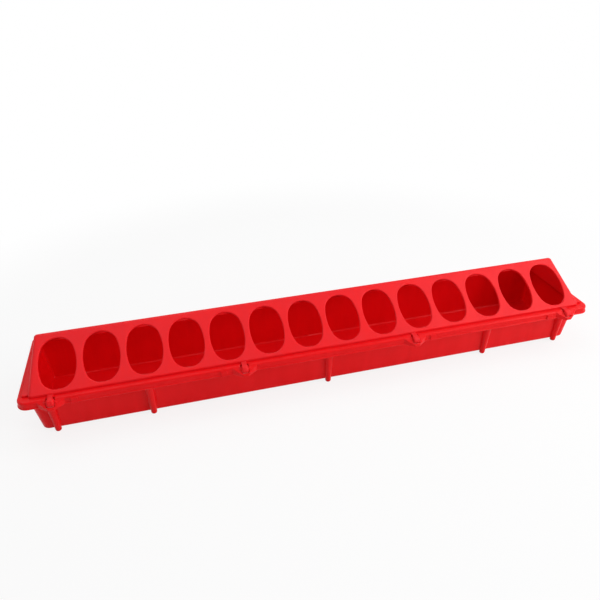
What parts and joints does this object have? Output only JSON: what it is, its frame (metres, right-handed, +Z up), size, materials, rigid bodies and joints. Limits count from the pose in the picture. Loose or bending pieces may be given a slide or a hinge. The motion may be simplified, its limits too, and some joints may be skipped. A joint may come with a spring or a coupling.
{
  "type": "poultry feeding trough",
  "caption": "Long plastic chick feeder: an open trough on small feet with a hinged gable lid that has a row of oval feed holes on each slope.",
  "frame": {"origin": "centre of the footprint, level with the undersides of the feet", "axes": "+X along the trough, +Y across it and away from the side with the ears that the lid is hinged on, +Z up"},
  "size_m": [0.5, 0.1026, 0.0715],
  "materials": {
    "trough_plastic": "semi-gloss red polypropylene",
    "lid_plastic": "semi-gloss red polypropylene"
  },
  "bodies": {
    "trough": {"trough_base": "trough_plastic"},
    "cover": {"lid": "lid_plastic"}
  },
  "joints": [
    {"name": "lid_hinge", "type": "hinge", "parent": "trough", "child": "cover", "pos_m": [0, -0.04621, 0.0394], "axis": [1, 0, 0], "range_deg": [0, 135]}
  ]
}
